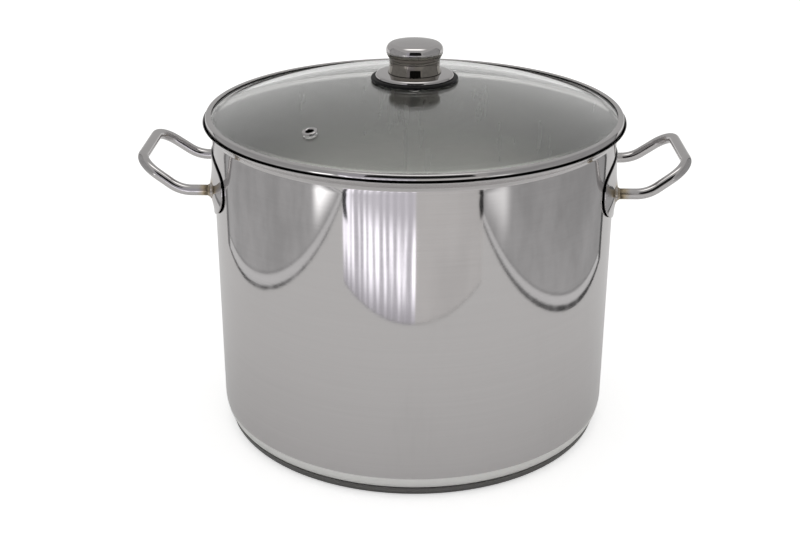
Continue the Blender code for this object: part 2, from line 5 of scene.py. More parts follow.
import bmesh
import bpy
from bpy.props import FloatProperty, FloatVectorProperty, PointerProperty
from bpy.types import Operator, Panel, PropertyGroup
from mathutils import Matrix, Vector


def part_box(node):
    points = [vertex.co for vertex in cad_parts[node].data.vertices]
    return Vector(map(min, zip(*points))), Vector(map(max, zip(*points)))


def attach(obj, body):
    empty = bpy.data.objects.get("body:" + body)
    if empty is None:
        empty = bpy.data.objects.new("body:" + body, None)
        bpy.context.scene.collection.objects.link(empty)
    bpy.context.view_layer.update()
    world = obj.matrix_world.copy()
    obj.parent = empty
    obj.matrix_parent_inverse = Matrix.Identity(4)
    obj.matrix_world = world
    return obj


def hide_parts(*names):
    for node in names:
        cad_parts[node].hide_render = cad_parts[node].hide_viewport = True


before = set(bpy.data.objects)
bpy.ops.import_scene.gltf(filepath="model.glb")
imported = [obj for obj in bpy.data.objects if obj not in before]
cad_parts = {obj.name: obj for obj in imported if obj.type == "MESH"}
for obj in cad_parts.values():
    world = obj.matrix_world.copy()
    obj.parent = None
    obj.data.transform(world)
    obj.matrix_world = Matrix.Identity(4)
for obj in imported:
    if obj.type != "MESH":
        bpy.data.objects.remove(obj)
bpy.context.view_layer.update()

bl_info = {
    "name": "Stock pot",
    "version": (1, 0, 0),
    "blender": (4, 5, 0),
    "location": "View3D > Sidebar > Stock pot",
    "description": "Builds a polished steel stock pot with a glass lid and its studio",
    "category": "Object",
}

MM = 0.001
TOUCHING = 0.005 * MM  # vertices this close are merged
SHARP = math.radians(40)
POT_SEGMENTS = 288
KNOB_SEGMENTS = 128
SMALL_SEGMENTS = 64
ROD_SEGMENTS = 32
ARC_STEP = 7.0  # degrees of turn for one step of a rounded corner
KNOB_HOLE = 5.5 * MM  # radius of the hole in the glass under the knob
SEATED = 0.15 * MM  # the rubber gasket clears the glass by this

WHITE = (1.0, 1.0, 1.0)
# Near black, painted as the shadow in the gaps at the lid band, the lip's seat and the plates' edges.
GAP_SHADOW_BLACK = (0.012, 0.012, 0.012)

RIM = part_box("pot_body")[1]
LID_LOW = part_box("lid_band")[0].z
LID_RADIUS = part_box("lid_band")[1].x
GLASS_LOW, GLASS_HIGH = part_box("lid_glass")
KNOB_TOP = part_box("knob_shell")[1].z
FLANGE_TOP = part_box("knob_flange")[1].z
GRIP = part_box("handle_rod_right")[1]


# ------------------------------------------------------------------- properties
def length(name, text, default):
    return FloatProperty(name=name, description=text, default=default, subtype="DISTANCE")


def tint(name, text, default):
    return FloatVectorProperty(
        name=name, description=text, default=default, size=3, min=0.0, max=1.0, subtype="COLOR"
    )


class PotSizes(PropertyGroup):
    wall_radius: length("Wall radius", "Outside of the straight wall", 150.5 * MM)
    wall: length("Wall", "Thickness of the steel", 0.8 * MM)
    flare_start: length("Flare", "Height where the lip leaves the wall", RIM.z - 7.6 * MM)
    knee_radius: length("Knee radius", "Radius of the step in the lip", 152.0 * MM)
    knee_height: length("Knee height", "Height of the step in the lip", RIM.z - 4.9 * MM)
    cap_radius: length("Base radius", "Rim of the base cap", 147.0 * MM)
    cap_height: length("Base height", "Height of the base cap", 7.3 * MM)
    rod_radius: length("Rod radius", "Radius of the handle rod", 4.0 * MM)
    leg_height: length("Leg height", "Height of the handle legs", 194.3 * MM)
    leg_spread: length("Leg spread", "Each leg to the middle of its handle", 42.3 * MM)
    grip_spread: length("Grip spread", "Each upper corner to the middle", 39.7 * MM)
    leg_reach: length("Leg reach", "First bend, out from the wall", 20.3 * MM)
    leg_bend: length("Leg bend", "Radius of the bend in each leg", 26.0 * MM)
    grip_bend: length("Grip bend", "Radius of each upper corner", 17.0 * MM)
    plate_half: length("Plate half width", "Half the plate, round the wall", 68.0 * MM)
    plate: length("Plate thickness", "Thickness of the mounting plate", 1.0 * MM)
    boss: length("Boss height", "How far the plate swells at a leg", 3.0 * MM)


class LidSizes(PropertyGroup):
    dome_radius: length("Dome radius", "Sphere of the top of the glass", 451.48 * MM)
    thickness: length("Glass", "Thickness of the glass", 4.0 * MM)
    flat: length("Flat edge", "Width of the flat edge of the glass", 6.0 * MM)
    fillet: length("Fillet", "Curve between dome and flat edge", 12.0 * MM)
    band_width: length("Band width", "Inward reach of the band's flanges", 4.8 * MM)
    vent_distance: length("Vent distance", "Vent to the axis", 115.0 * MM)
    vent_bearing: FloatProperty(
        name="Vent bearing",
        description="Direction of the vent from the right handle",
        default=math.radians(-127.5),
        subtype="ANGLE",
    )
    knob_radius: length("Knob radius", "Widest part of the knob", 21.0 * MM)
    flange_radius: length("Flange radius", "Edge of the steel flange", 29.0 * MM)
    gasket_radius: length("Gasket radius", "Edge of the rubber gasket", 32.3 * MM)


class Finishes(PropertyGroup):
    steel: tint("Steel", "Polished stainless steel", (0.65, 0.632, 0.632))
    # The base's very dark tone is painted shade; its satin finish is real.
    satin: tint("Satin steel", "Blasted steel of the base", (0.19, 0.187, 0.182))
    glass: tint("Glass", "Clear tempered glass", (0.985, 0.995, 0.988))
    rubber: tint("Rubber", "Black silicone", (0.004, 0.004, 0.0045))
    straw: tint("Heat tint", "Straw tint beside a weld", (0.50, 0.36, 0.14))
    burnt: tint("Burnt tint", "Darkest tint at a weld", (0.03, 0.022, 0.015))


class StudioSettings(PropertyGroup):
    camera_place: FloatVectorProperty(
        name="Camera", description="Place of the camera", default=(0.00941, -0.9371, 0.5146),
        size=3, subtype="TRANSLATION",
    )
    camera_aim: FloatVectorProperty(
        name="Aim", description="Point the camera looks at", default=(-0.01046, -0.00022, 0.11707),
        size=3, subtype="TRANSLATION",
    )
    camera_roll: FloatProperty(
        name="Roll", description="Roll of the camera", default=math.radians(0.12), subtype="ANGLE"
    )
    lens: FloatProperty(name="Lens", description="Focal length in mm", default=58.4, min=1.0)
    sky: FloatProperty(name="Sky", description="Light that falls in", default=0.75, min=0.0)
    sky_mirrored: FloatProperty(
        name="Mirrored sky", description="Brightness of the tent in mirrors", default=0.46, min=0.0
    )
    sky_through_glass: FloatProperty(
        name="Sky through glass", description="Brightness seen out through the lid", default=1.05,
        min=0.0,
    )
    floor: tint("Floor", "Colour of the floor", (0.88, 0.88, 0.88))


def pot_sizes():
    return bpy.context.scene.stock_pot


def lid_sizes():
    return bpy.context.scene.stock_pot_lid


def finishes():
    return bpy.context.scene.stock_pot_finishes


def studio():
    return bpy.context.scene.stock_pot_studio


# --------------------------------------------------------------- making a shape
class Outline:
    """A profile in the XZ plane that is drawn point by point and then turned about Z."""

    def __init__(self, radius, height):
        self.bm = bmesh.new()
        self.start = self.tip = self.bm.verts.new((radius, 0.0, height))
        self.corners = []

    def to(self, radius, height, bend=0.0):
        """A straight run to a point, whose corner is rounded by that radius at the end."""
        there = self.bm.verts.new((radius, 0.0, height))
        self.bm.edges.new((self.tip, there))
        self.tip = there
        if bend:
            self.corners.append((there, bend))
        return self

    def swing(self, centre, degrees, steps):
        """An arc from the tip about a centre, clockwise from +Z towards +X."""
        made = bmesh.ops.spin(
            self.bm, geom=[self.tip], cent=(centre[0], 0.0, centre[1]), axis=(0.0, 1.0, 0.0),
            dvec=(0.0, 0.0, 0.0), angle=math.radians(degrees), steps=steps, use_merge=False,
        )
        self.tip = made["geom_last"][0]
        return self

    def close(self):
        self.bm.edges.new((self.tip, self.start))
        return self

    def round_corners(self):
        for corner, bend in self.corners:
            back, ahead = [
                (edge.other_vert(corner).co - corner.co).normalized() for edge in corner.link_edges
            ]
            turn = math.pi - back.angle(ahead)
            bmesh.ops.bevel(
                self.bm, geom=[corner], offset=bend * math.tan(turn / 2), offset_type="OFFSET",
                segments=max(2, math.ceil(math.degrees(turn) / ARC_STEP)), profile=0.5,
                affect="VERTICES", material=-1, clamp_overlap=False,
            )

    def turn(self, segments):
        """The profile turned about Z into a surface whose faces point outwards."""
        self.round_corners()
        bmesh.ops.spin(
            self.bm, geom=self.bm.verts[:] + self.bm.edges[:], cent=(0.0, 0.0, 0.0),
            axis=(0.0, 0.0, 1.0), dvec=(0.0, 0.0, 0.0), angle=2 * math.pi, steps=segments,
            use_merge=True,
        )
        bmesh.ops.remove_doubles(self.bm, verts=self.bm.verts, dist=TOUCHING)
        bmesh.ops.recalc_face_normals(self.bm, faces=self.bm.faces)
        widest = max(self.bm.faces, key=lambda face: face.calc_center_median().xy.length)
        if widest.normal.xy.dot(widest.calc_center_median().xy) < 0:
            bmesh.ops.reverse_faces(self.bm, faces=self.bm.faces)
        return self.bm


def give_wall(bm, thickness, rounding=0.0, level=None):
    """Thickens a sheet inwards, cuts its rim level and rounds the edges that it then has."""
    bmesh.ops.solidify(bm, geom=bm.faces[:], thickness=thickness)
    if level is not None:
        for vertex in bm.verts:
            vertex.co.z = min(vertex.co.z, level)
    if rounding:
        edges = [e for e in bm.edges if e.is_manifold and e.calc_face_angle() > SHARP]
        bmesh.ops.bevel(
            bm, geom=edges, offset=rounding, offset_type="OFFSET", segments=2, profile=0.5,
            affect="EDGES", material=-1,
        )
    return bm


def add_piece(name, bm, material, body, slot, *nodes):
    """A finished piece that rides on a body and stands for CAD nodes."""
    mesh = bpy.data.meshes.new(name)
    bm.to_mesh(mesh)
    bm.free()
    mesh.shade_smooth()
    mesh.set_sharp_from_angle(angle=SHARP)
    mesh.materials.append(material)
    piece = bpy.data.objects.new(name, mesh)
    bpy.context.scene.collection.objects.link(piece)
    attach(piece, body)
    if nodes:
        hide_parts(*nodes)
    return piece


def dress(node, material):
    """A CAD node that stays, in a finer material."""
    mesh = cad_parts[node].data
    mesh.materials.clear()
    mesh.materials.append(material)


# --------------------------------------------------------------- shader helpers
class Graph:
    """Adds nodes to a tree. A value is a number, a colour, a vector or another node's socket."""

    def __init__(self, tree):
        self.tree = tree

    def put(self, socket, value):
        if isinstance(value, bpy.types.NodeSocket):
            self.tree.links.new(value, socket)
        elif isinstance(value, (tuple, list)) and len(value) == 3 and socket.type == "RGBA":
            socket.default_value = (*value, 1.0)
        else:
            socket.default_value = value

    def add(self, kind, settings=None, **inputs):
        node = self.tree.nodes.new(kind)
        for name, value in (settings or {}).items():
            setattr(node, name, value)
        for name, value in inputs.items():
            key = int(name[1:]) if name[0] == "_" else name.replace("_", " ")
            self.put(node.inputs[key], value)
        return node

    def math(self, operation, first, second=0.0, clamp=False):
        node = self.add(
            "ShaderNodeMath", {"operation": operation, "use_clamp": clamp}, _0=first, _1=second
        )
        return node.outputs[0]

    def fade(self, value, low, high, start=0.0, end=1.0):
        """Runs smoothly from start to end while the value runs from low to high."""
        node = self.add(
            "ShaderNodeMapRange", {"interpolation_type": "SMOOTHSTEP"}, Value=value,
            From_Min=low, From_Max=high, To_Min=start, To_Max=end,
        )
        return node.outputs[0]

    def strip(self, value, low, high, soft):
        """1 between two values, 0 outside them."""
        up = self.fade(value, low - soft, low + soft)
        down = self.fade(value, high - soft, high + soft, 1.0, 0.0)
        return self.math("MULTIPLY", up, down)

    def mix(self, share, first, second):
        node = self.add("ShaderNodeMix", {"data_type": "RGBA"})
        self.put(node.inputs["Factor"], share)
        self.put(node.inputs[6], first)
        self.put(node.inputs[7], second)
        return node.outputs[2]

    def blend(self, share, first, second):
        node = self.add("ShaderNodeMix", {"data_type": "FLOAT"})
        self.put(node.inputs["Factor"], share)
        self.put(node.inputs[2], first)
        self.put(node.inputs[3], second)
        return node.outputs[0]

    def stretch(self, vector, scale):
        node = self.add("ShaderNodeVectorMath", {"operation": "MULTIPLY"}, _0=vector, _1=scale)
        return node.outputs[0]

    def noise(self, vector, scale, detail=3.0, roughness=0.5):
        node = self.add(
            "ShaderNodeTexNoise", None, Vector=vector, Scale=scale, Detail=detail,
            Roughness=roughness,
        )
        return node.outputs["Fac"]

    def use(self, group, **inputs):
        node = self.add("ShaderNodeGroup", {"node_tree": group}, **inputs)
        return node.outputs

    def place(self):
        return self.add("ShaderNodeTexCoord").outputs["Object"]

    def apart(self, vector):
        return self.add("ShaderNodeSeparateXYZ", None, Vector=vector).outputs


def new_group(name, inputs, outputs):
    """An empty node group, with its graph, its inputs and the node its outputs go to."""
    tree = bpy.data.node_groups.new(name, "ShaderNodeTree")
    for label, kind, default in inputs:
        socket = tree.interface.new_socket(name=label, in_out="INPUT", socket_type=kind)
        if default is not None:
            socket.default_value = default
    for label, kind in outputs:
        tree.interface.new_socket(name=label, in_out="OUTPUT", socket_type=kind)
    graph = Graph(tree)
    return tree, graph, graph.add("NodeGroupInput").outputs, graph.add("NodeGroupOutput").inputs


def build_grain():
    """Fine lines left by turning or brushing, along the directions with a small scale."""
    tree, g, given, out = new_group(
        "Brushed grain",
        [("Place", "NodeSocketVector", None), ("Density", "NodeSocketVector", (1.0, 1.0, 1.0))],
        [("Lines", "NodeSocketFloat")],
    )
    stretched = g.stretch(given["Place"], given["Density"])
    fine = g.noise(stretched, 1.0, 2.0, 0.6)
    coarse = g.noise(g.stretch(stretched, (0.31, 0.31, 0.31)), 1.0, 1.0)
    g.put(out["Lines"], g.blend(0.35, fine, coarse))
    return tree


def build_smudges():
    """Faint wiping marks, and a few softer finger marks."""
    tree, g, given, out = new_group(
        "Wiping marks",
        [("Place", "NodeSocketVector", None), ("Size", "NodeSocketFloat", 20.0)],
        [("Haze", "NodeSocketFloat")],
    )
    wide = g.noise(g.stretch(given["Place"], (1.0, 1.0, 0.45)), given["Size"], 4.0, 0.6)
    patches = g.fade(wide, 0.48, 0.72)
    narrow = g.noise(g.stretch(given["Place"], (9.0, 9.0, 1.2)), given["Size"], 2.0)
    streaks = g.fade(narrow, 0.4, 0.8)
    g.put(out["Haze"], g.math("MULTIPLY", patches, g.math("ADD", streaks, 0.35), True))
    return tree


def build_heat_tint():
    """Colours that welding leaves round the root of each handle leg."""
    tree, g, given, out = new_group(
        "Heat tint",
        [
            ("Place", "NodeSocketVector", None),
            ("Root", "NodeSocketVector", (0.0, 0.0, 0.0)),
            ("Reach", "NodeSocketFloat", 0.01),
            ("Straw", "NodeSocketColor", None),
            ("Burnt", "NodeSocketColor", None),
        ],
        [("Colour", "NodeSocketColor"), ("Amount", "NodeSocketFloat")],
    )
    mirrored = g.add("ShaderNodeVectorMath", {"operation": "ABSOLUTE"}, _0=given["Place"])
    away = g.add(
        "ShaderNodeVectorMath", {"operation": "DISTANCE"}, _0=mirrored.outputs[0],
        _1=given["Root"],
    ).outputs["Value"]
    wobble = g.math("MULTIPLY", g.math("SUBTRACT", g.noise(given["Place"], 260.0), 0.5), 0.5)
    share = g.math("ADD", g.math("DIVIDE", away, given["Reach"]), wobble)
    g.put(out["Amount"], g.fade(share, 0.25, 1.0, 1.0, 0.0))
    g.put(out["Colour"], g.mix(g.fade(share, 0.30, 0.65), given["Burnt"], given["Straw"]))
    return tree


def new_material(name):
    material = bpy.data.materials.new(name)
    material.use_nodes = True
    tree = material.node_tree
    return material, Graph(tree), tree.nodes["Principled BSDF"]


def steel(
    name, density, roughness, haze=0.08, bump=0.05, tone=1.0, anisotropy=0.0, tint_root=None,
    tint_reach=0.012, colour=None, gap_shadow=None, inside=None, edge=None, shaded=None,
):
    """Polished or brushed stainless steel.

    It takes heat tint where a weld's root is given, a painted gap shadow that is given as its
    least radius, lowest and highest place and least upward turn, a satin inside below one
    radius with painted light and shade (near white low down, darker high up), a painted shadow
    along an edge below another radius and painted shade below a height.
    """
    material, g, shader = new_material(name)
    place = g.place()
    lines = g.use(bpy.data.node_groups["Brushed grain"], Place=place, Density=density)["Lines"]
    marks = g.use(bpy.data.node_groups["Wiping marks"], Place=place, Size=22.0)["Haze"]
    base = Vector(colour or finishes().steel) * tone
    shade = g.mix(lines, tuple(base * 0.94), tuple(base * 1.05))
    shade = g.mix(g.math("MULTIPLY", marks, 0.16), shade, tuple(base * 0.82))
    rough = g.math("ADD", g.math("MULTIPLY", lines, roughness * 0.5), roughness * 0.75)
    rough = g.math("ADD", rough, g.math("MULTIPLY", marks, haze))
    if tint_root is not None:
        weld = g.use(
            bpy.data.node_groups["Heat tint"], Place=place, Root=tint_root, Reach=tint_reach,
            Straw=tuple(finishes().straw), Burnt=tuple(finishes().burnt),
        )
        shade = g.mix(weld["Amount"], shade, weld["Colour"])
        rough = g.math("ADD", rough, g.math("MULTIPLY", weld["Amount"], 0.18))
    at = g.apart(place)
    squares = g.math("ADD", g.math("POWER", at["X"], 2.0), g.math("POWER", at["Y"], 2.0))
    radius = g.math("SQRT", squares)
    # Painted shade: a darker colour below a height.
    if shaded is not None:
        height, low_shade = shaded
        share = g.fade(at["Z"], height - 2.0 * MM, height + 1.0 * MM, 1.0, 0.0)
        shade = g.mix(share, shade, low_shade)
    # Painted light and shade: the inside is near white below 120 mm and darker above 200 mm; its satin
    # roughness is real.
    if inside is not None:
        share = g.fade(radius, inside - 0.1 * MM, inside + 0.1 * MM, 1.0, 0.0)
        lower = g.fade(at["Z"], 0.12, 0.20)
        shade = g.mix(share, shade, g.mix(lower, (0.98, 0.98, 0.96), (0.50, 0.50, 0.49)))
        satin = g.fade(at["Z"], 0.010, 0.030, 0.40, 0.20)
        rough = g.math("ADD", rough, g.math("MULTIPLY", share, satin))
    # Painted shadow: near black below a radius, along a plate's edge against the wall.
    if edge is not None:
        share = g.fade(radius, edge - 0.1 * MM, edge + 0.1 * MM, 1.0, 0.0)
        shade = g.mix(share, shade, GAP_SHADOW_BLACK)
    # Painted shadow: a near black band between two heights beyond a radius, for the dark gap line.
    if gap_shadow is not None:
        least, low, high, facing = gap_shadow
        upward = g.apart(g.add("ShaderNodeNewGeometry").outputs["True Normal"])["Z"]
        gap_shadow_share = g.math(
            "MULTIPLY", g.strip(at["Z"], low, high, 0.1 * MM),
            g.math("MULTIPLY", g.fade(radius, least - 0.2 * MM, least + 0.2 * MM),
                   g.fade(upward, facing - 0.1, facing + 0.1)),
        )
        shade = g.mix(gap_shadow_share, shade, GAP_SHADOW_BLACK)
        rough = g.math("ADD", rough, g.math("MULTIPLY", gap_shadow_share, 0.4))
    ripple = g.add("ShaderNodeBump", None, Strength=bump, Distance=0.05 * MM, Height=lines)
    g.put(shader.inputs["Base Color"], shade)
    g.put(shader.inputs["Roughness"], rough)
    g.put(shader.inputs["Normal"], ripple.outputs[0])
    shader.inputs["Metallic"].default_value = 1.0
    if anisotropy:
        shader.inputs["Anisotropic"].default_value = anisotropy
        around = g.add("ShaderNodeTangent", {"direction_type": "RADIAL", "axis": "Z"})
        g.put(shader.inputs["Tangent"], around.outputs[0])
    return material


def clear_glass(name):
    material, g, shader = new_material(name)
    place = g.place()
    marks = g.use(bpy.data.node_groups["Wiping marks"], Place=place, Size=9.0)["Haze"]
    g.put(shader.inputs["Base Color"], tuple(finishes().glass))
    g.put(shader.inputs["Roughness"], g.math("MULTIPLY", marks, 0.02))
    shader.inputs["Metallic"].default_value = 0.0
    shader.inputs["Transmission Weight"].default_value = 1.0
    shader.inputs["IOR"].default_value = 1.52
    return material


def black_rubber(name):
    material, g, shader = new_material(name)
    place = g.place()
    pores = g.noise(place, 2600.0, 2.0)
    base = Vector(finishes().rubber)
    g.put(shader.inputs["Base Color"], g.mix(g.noise(place, 300.0), tuple(base), tuple(base * 2)))
    g.put(shader.inputs["Roughness"], g.fade(pores, 0.2, 0.8, 0.38, 0.5))
    ripple = g.add("ShaderNodeBump", None, Strength=0.15, Distance=0.05 * MM, Height=pores)
    g.put(shader.inputs["Normal"], ripple.outputs[0])
    shader.inputs["Specular IOR Level"].default_value = 0.2
    return material


def cast_aluminium(name):
    material, g, shader = new_material(name)
    place = g.place()
    g.put(
        shader.inputs["Base Color"],
        g.mix(g.noise(place, 420.0), (0.62, 0.62, 0.63), (0.74, 0.74, 0.75)),
    )
    g.put(shader.inputs["Roughness"], g.fade(g.noise(place, 900.0), 0.3, 0.7, 0.35, 0.5))
    shader.inputs["Metallic"].default_value = 1.0
    return material


# ------------------------------------------------------------------ the pot body
def weld_root():
    """The middle of a leg's root on the wall, in the corner where X, Y and Z are positive."""
    s = pot_sizes()
    out = s.wall_radius + s.boss + s.plate
    return math.sqrt(out**2 - s.leg_spread**2), s.leg_spread, s.leg_height


class STOCKPOT_OT_body(Operator):
    """Build the drawn pot body with its flared lip"""

    bl_idname = "stockpot.body"
    bl_label = "Pot body"

    def execute(self, context):
        s = pot_sizes()
        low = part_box("pot_body")[0].z
        outline = Outline(RIM.x, RIM.z)
        outline.to(s.knee_radius, s.knee_height, 1.6 * MM)
        outline.to(s.wall_radius, s.flare_start, 2.5 * MM)
        wall_foot, heel_height, heel_bend = 22.0 * MM, 14.505 * MM, 23.4 * MM
        for share in (0.02, 0.25, 0.5, 0.75, 0.97):
            outline.to(s.wall_radius, s.flare_start + (wall_foot - s.flare_start) * share)
        outline.to(s.wall_radius, heel_height, heel_bend)
        outline.to(146.10 * MM, low, 5.0 * MM)
        outline.to(120.0 * MM, low).to(0.0, low)
        bm = give_wall(outline.turn(POT_SEGMENTS), s.wall, 0.25 * MM, RIM.z)
        # Painted shadow in the lip's seat under the band, painted shade on the heel below 15 mm,
        # painted light and shade inside.
        material = steel(
            "polished_pot_steel", (14.0, 14.0, 1500.0), 0.055, 0.04, 0.08, anisotropy=0.5,
            gap_shadow=(153.2 * MM, RIM.z - 3.4 * MM, RIM.z - 0.35 * MM, 0.2),
            inside=s.wall_radius - s.wall / 2, shaded=(15.0 * MM, (0.36, 0.35, 0.35)),
        )
        add_piece("pot_shell", bm, material, "pot", "pot_steel", "pot_body")
        return {"FINISHED"}


class STOCKPOT_OT_base(Operator):
    """Build the steel cap over the thick base"""

    bl_idname = "stockpot.base"
    bl_label = "Base"

    def execute(self, context):
        s = pot_sizes()
        corner = s.cap_radius - 0.7 * MM
        outline = Outline(s.cap_radius, s.cap_height)
        outline.to(corner, 6.0 * MM, 2.0 * MM)
        outline.to(corner, 0.0, 5.6 * MM)
        outline.to(136.0 * MM, 0.0, 1.0 * MM).to(135.5 * MM, 0.25 * MM, 1.0 * MM)
        outline.to(62.0 * MM, 0.25 * MM, 1.0 * MM).to(61.5 * MM, 0.0, 1.0 * MM)
        outline.to(0.0, 0.0)
        bm = give_wall(outline.turn(POT_SEGMENTS), 0.6 * MM, 0.2 * MM)
        # Satin steel, with its colour darkened as painted shade.
        material = steel(
            "satin_base_steel", (40.0, 40.0, 2400.0), 0.34, 0.05, 0.12,
            colour=finishes().satin,
        )
        add_piece("base_shell", bm, material, "pot", "base_steel", "base_cap")
        dress("base_core", cast_aluminium("base_aluminium"))
        return {"FINISHED"}


# ------------------------------------------------------------------- the handles
def plate_point(across, along, lift):
    """A point on a handle plate, on the right side, from -1 to 1 both ways."""
    s = pot_sizes()
    rise, tall_top, tall_bottom = 4.7 * MM, 19.0 * MM, 28.5 * MM
    across = math.sin(across * math.pi / 2)
    tall, power = (tall_top, 3.2) if along > 0 else (tall_bottom, 2.2)
    z = rise + along * tall * max(0.0, 1 - abs(across) ** power) ** (1 / power)
    around = across * s.plate_half
    leg = math.asin(s.leg_spread / s.wall_radius) * s.wall_radius
    boss_tall = 9.0 * MM if z > 0 else 13.0 * MM
    swell = sum(
        math.exp(-(((around - side * leg) / (20.0 * MM)) ** 2) - (z / boss_tall) ** 2)
        for side in (-1, 1)
    )
    radius = s.wall_radius + 0.3 * MM + s.boss * swell + lift
    angle = around / s.wall_radius
    return Vector((radius * math.cos(angle), radius * math.sin(angle), z + s.leg_height))


def make_plate():
    bm = bmesh.new()
    bmesh.ops.create_grid(bm, x_segments=112, y_segments=36, size=1.0)
    for vertex in bm.verts:
        vertex.co = plate_point(vertex.co.x, vertex.co.y, pot_sizes().plate)
    bmesh.ops.remove_doubles(bm, verts=bm.verts, dist=TOUCHING)
    bmesh.ops.recalc_face_normals(bm, faces=bm.faces)
    if sum(face.normal.x for face in bm.faces) < 0:
        bmesh.ops.reverse_faces(bm, faces=bm.faces)
    return give_wall(bm, pot_sizes().plate, 0.3 * MM)


def make_rod():
    """A ring pushed and swung along the rod from one leg to the other."""
    s = pot_sizes()
    start = math.sqrt(s.wall_radius**2 - s.leg_spread**2) + s.rod_radius / 2
    bend = s.wall_radius + s.leg_reach
    grip = GRIP.x - s.rod_radius
    high = GRIP.z - s.rod_radius
    corners = [
        (Vector((bend, -s.leg_spread, s.leg_height)), s.leg_bend),
        (Vector((grip, -s.grip_spread, high)), s.grip_bend),
        (Vector((grip, s.grip_spread, high)), s.grip_bend),
        (Vector((bend, s.leg_spread, s.leg_height)), s.leg_bend),
    ]
    here = Vector((start, -s.leg_spread, s.leg_height))
    end = Vector((start, s.leg_spread, s.leg_height))
    bm = bmesh.new()
    ring = bmesh.ops.create_circle(
        bm, segments=ROD_SEGMENTS, radius=s.rod_radius,
        matrix=Matrix.Translation(here) @ Matrix.Rotation(math.pi / 2, 4, "Y"),
    )["verts"]
    ring = list({edge for vert in ring for edge in vert.link_edges})

    def middle():
        return sum((v.co for v in {v for e in ring for v in e.verts}), Vector()) / ROD_SEGMENTS

    def push(edges, move):
        made = bmesh.ops.extrude_edge_only(bm, edges=edges)["geom"]
        verts = [item for item in made if isinstance(item, bmesh.types.BMVert)]
        bmesh.ops.translate(bm, verts=verts, vec=move)
        return [item for item in made if isinstance(item, bmesh.types.BMEdge)
                and all(v in verts for v in item.verts)]

    stops = [corner for corner, _ in corners[1:]] + [end]
    for (corner, radius), after in zip(corners, stops):
        back, ahead = (here - corner).normalized(), (after - corner).normalized()
        half = back.angle(ahead) / 2
        entry = corner + back * radius / math.tan(half)
        centre = corner + (back + ahead).normalized() * radius / math.sin(half)
        for share in (0.04, 0.96, 1.0):
            ring = push(ring, here.lerp(entry, share) - middle())
        axis = (-back).cross(ahead).normalized()
        turn = math.pi - 2 * half
        made = bmesh.ops.spin(
            bm, geom=ring, cent=centre, axis=axis, dvec=(0.0, 0.0, 0.0), angle=turn,
            steps=math.ceil(math.degrees(turn) / 4), use_merge=False,
        )["geom_last"]
        ring = [item for item in made if isinstance(item, bmesh.types.BMEdge)]
        here = corner + ahead * radius / math.tan(half)
    for share in (0.04, 1.0):
        ring = push(ring, here.lerp(end, share) - middle())
    bmesh.ops.remove_doubles(bm, verts=bm.verts, dist=TOUCHING)
    bmesh.ops.holes_fill(bm, edges=[e for e in bm.edges if e.is_boundary], sides=0)
    bmesh.ops.recalc_face_normals(bm, faces=bm.faces)
    return bm


def make_bead(leg_side):
    """A rippled ring of weld round one leg of the right handle."""
    s = pot_sizes()
    outline = Outline(s.rod_radius - 0.3 * MM, -2.4 * MM)
    outline.to(6.0 * MM, -2.4 * MM).to(6.0 * MM, -0.5 * MM, 0.5 * MM)
    outline.to(4.7 * MM, 0.5 * MM, 1.6 * MM).to(4.2 * MM, 1.7 * MM, 0.5 * MM)
    outline.to(s.rod_radius - 0.3 * MM, 1.7 * MM).close()
    bm = outline.turn(SMALL_SEGMENTS)
    for vertex in bm.verts:
        angle = math.atan2(vertex.co.y, vertex.co.x)
        swell = 1.0 + 0.035 * math.sin(13 * angle) + 0.03 * math.sin(5 * angle + 1.0)
        vertex.co.x *= swell
        vertex.co.y *= swell
    out, across, height = weld_root()
    bmesh.ops.transform(
        bm, verts=bm.verts,
        matrix=Matrix.Translation((out, across * leg_side, height))
        @ Matrix.Rotation(math.pi / 2, 4, "Y"),
    )
    return bm


class STOCKPOT_OT_handles(Operator):
    """Build both rod handles with their plates and welds"""

    bl_idname = "stockpot.handles"
    bl_label = "Handles"

    def execute(self, context):
        root = weld_root()
        # The plates take a painted black shadow along their edges against the wall.
        plate_steel = steel(
            "polished_plate_steel", (60.0, 60.0, 900.0), 0.06, 0.06, 0.05, tint_root=root,
            tint_reach=11.0 * MM, edge=pot_sizes().wall_radius + 1.05 * MM,
        )
        rod_steel = steel(
            "polished_rod_steel", (500.0, 500.0, 500.0), 0.06, 0.04, 0.0, tint_root=root,
            tint_reach=11.0 * MM,
        )
        weld_steel = steel(
            "weld_steel", (700.0, 700.0, 700.0), 0.30, 0.05, 0.25, tint_root=root,
            tint_reach=8.0 * MM,
        )
        for side, turn in (("right", 0.0), ("left", math.pi)):
            about = Matrix.Rotation(turn, 4, "Z")
            front = -1 if side == "right" else 1
            for name, bm, material, slot, node in (
                ("plate", make_plate(), plate_steel, "plate_steel", "handle_plate"),
                ("grip", make_rod(), rod_steel, "rod_steel", "handle_rod"),
                ("weld_front", make_bead(front), weld_steel, "weld_steel", "weld_bead"),
                ("weld_back", make_bead(-front), weld_steel, "weld_steel", "weld_bead"),
            ):
                bmesh.ops.transform(bm, verts=bm.verts, matrix=about)
                end = name.replace("weld", "") if slot == "weld_steel" else ""
                add_piece(f"{name}_{side}", bm, material, "pot", slot, f"{node}_{side}{end}")
        return {"FINISHED"}


# ----------------------------------------------------------------------- the lid
def dome_centre():
    return GLASS_HIGH.z - lid_sizes().dome_radius


def dome_height(radius):
    return dome_centre() + math.sqrt(lid_sizes().dome_radius ** 2 - radius**2)


